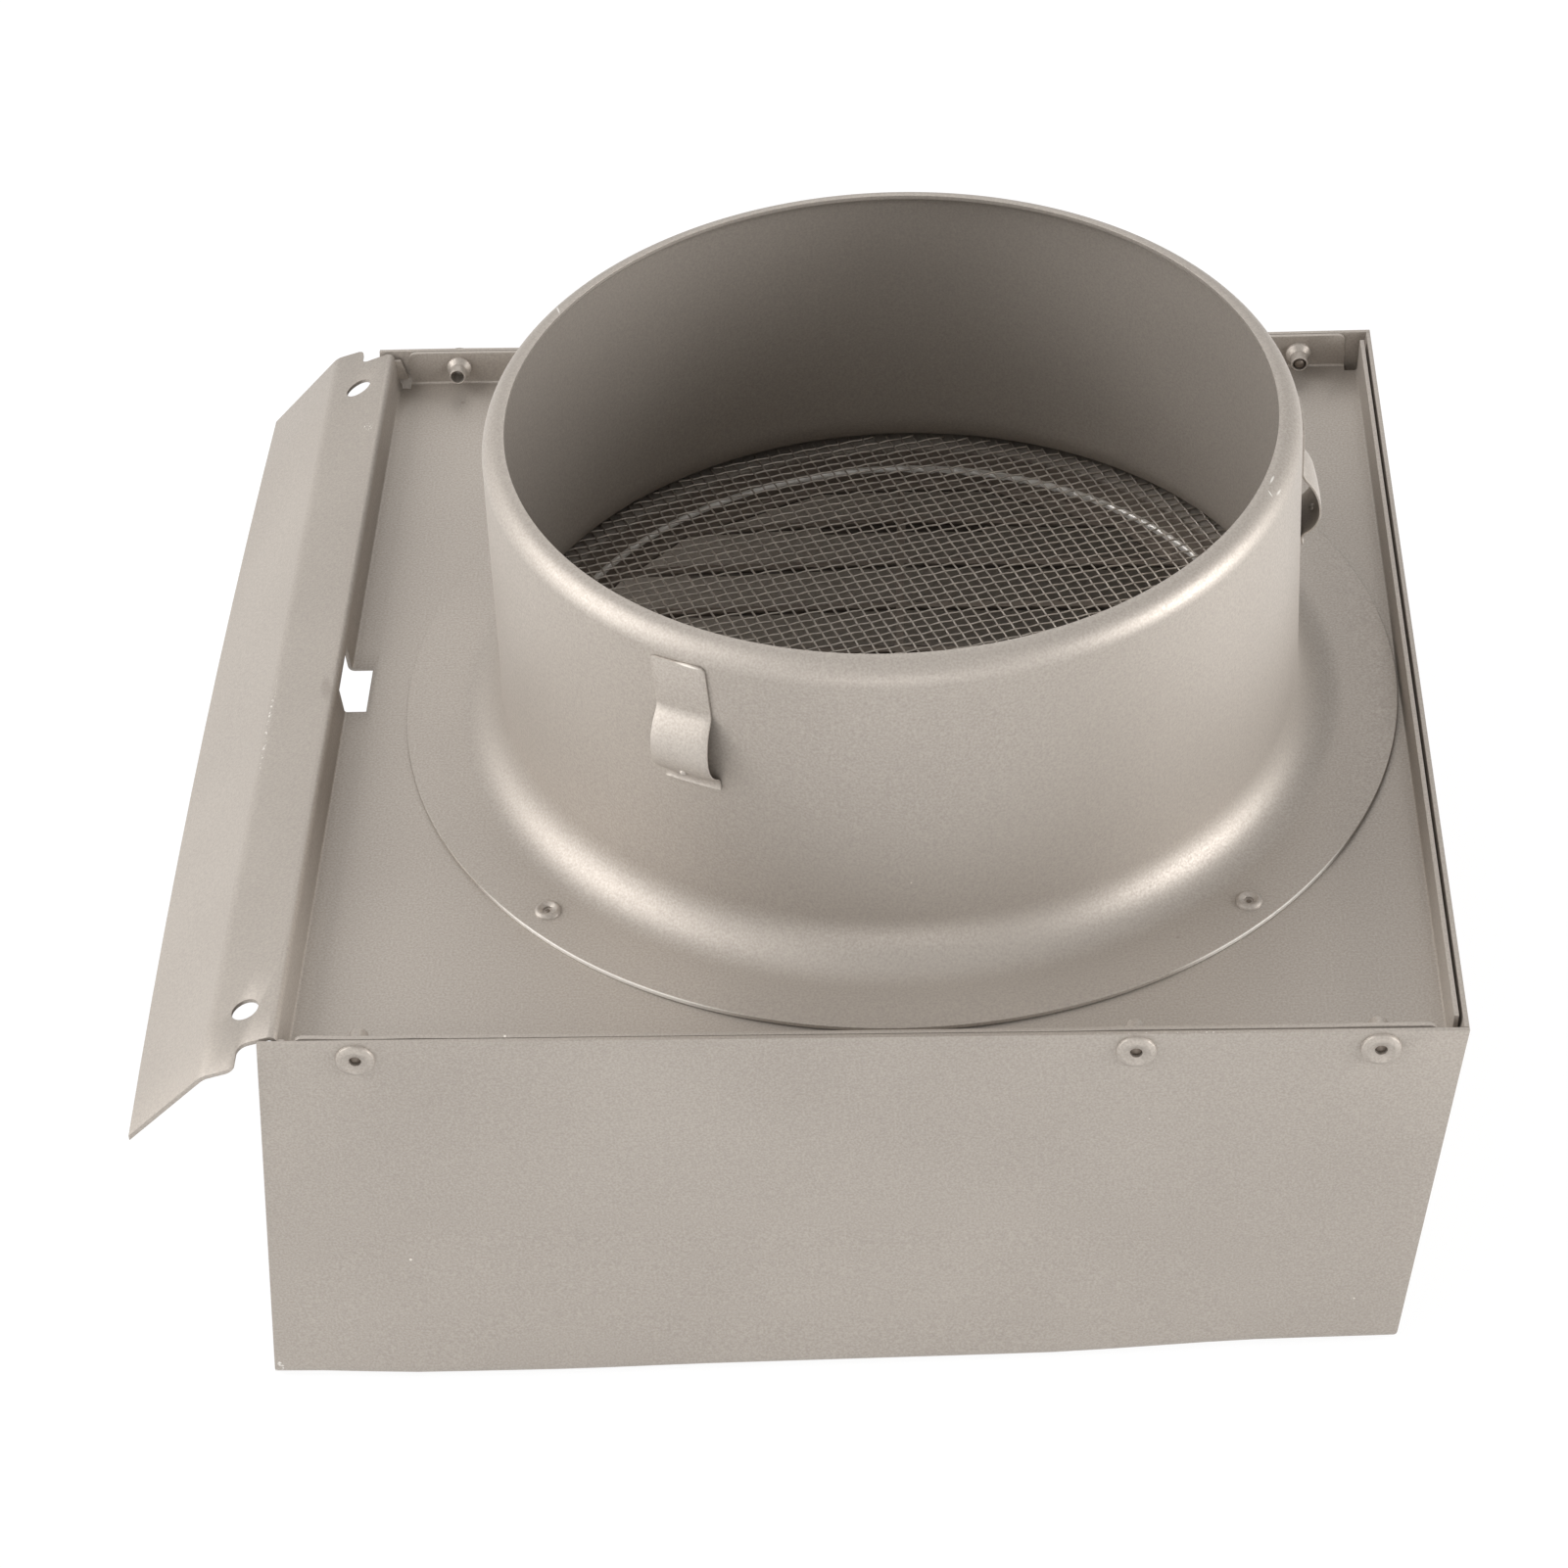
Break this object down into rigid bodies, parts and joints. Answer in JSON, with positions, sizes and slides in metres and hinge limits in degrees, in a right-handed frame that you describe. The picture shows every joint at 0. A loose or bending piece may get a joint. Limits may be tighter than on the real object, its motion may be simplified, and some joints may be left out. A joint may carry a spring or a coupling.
{
  "type": "wall vent cap",
  "caption": "Square hooded wall vent cap of painted sheet metal with a round duct collar, spring clips, insect screen, louvre plate and a drip flap at the open mouth.",
  "frame": {"origin": "on the duct's axis, in the plane of the wall that the cap is fixed to", "axes": "+Z out through the collar into the wall, -X to the hood's open mouth (down once fixed), +X to the closed top wall, Y across"},
  "size_m": [0.2325, 0.212, 0.144],
  "materials": {
    "metallic_paint": "warm grey metallic paint, satin, fine speckle",
    "inner_paint": "warm grey metallic paint, satin",
    "galvanised_mesh": "woven wire, sprayed over lightly",
    "pin_steel": "snapped steel pin"
  },
  "bodies": {
    "root": {"back_plate": "metallic_paint", "duct_collar": "metallic_paint", "flange_rivet_1": "metallic_paint", "flange_rivet_2": "metallic_paint", "flange_rivet_3": "metallic_paint", "flange_rivet_4": "metallic_paint", "flange_rivet_pin_1": "pin_steel", "flange_rivet_pin_2": "pin_steel", "flange_rivet_pin_3": "pin_steel", "flange_rivet_pin_4": "pin_steel", "hood_cover": "metallic_paint", "insect_screen": "galvanised_mesh", "leaf_spring_1": "metallic_paint", "leaf_spring_2": "metallic_paint", "leaf_spring_3": "metallic_paint", "louvre_plate": "inner_paint", "side_rivet_1": "metallic_paint", "side_rivet_2": "metallic_paint", "side_rivet_3": "metallic_paint", "side_rivet_4": "metallic_paint", "side_rivet_5": "metallic_paint", "side_rivet_6": "metallic_paint", "side_rivet_pin_1": "pin_steel", "side_rivet_pin_2": "pin_steel", "side_rivet_pin_3": "pin_steel", "side_rivet_pin_5": "pin_steel", "side_rivet_pin_6": "pin_steel"}
  },
  "joints": []
}
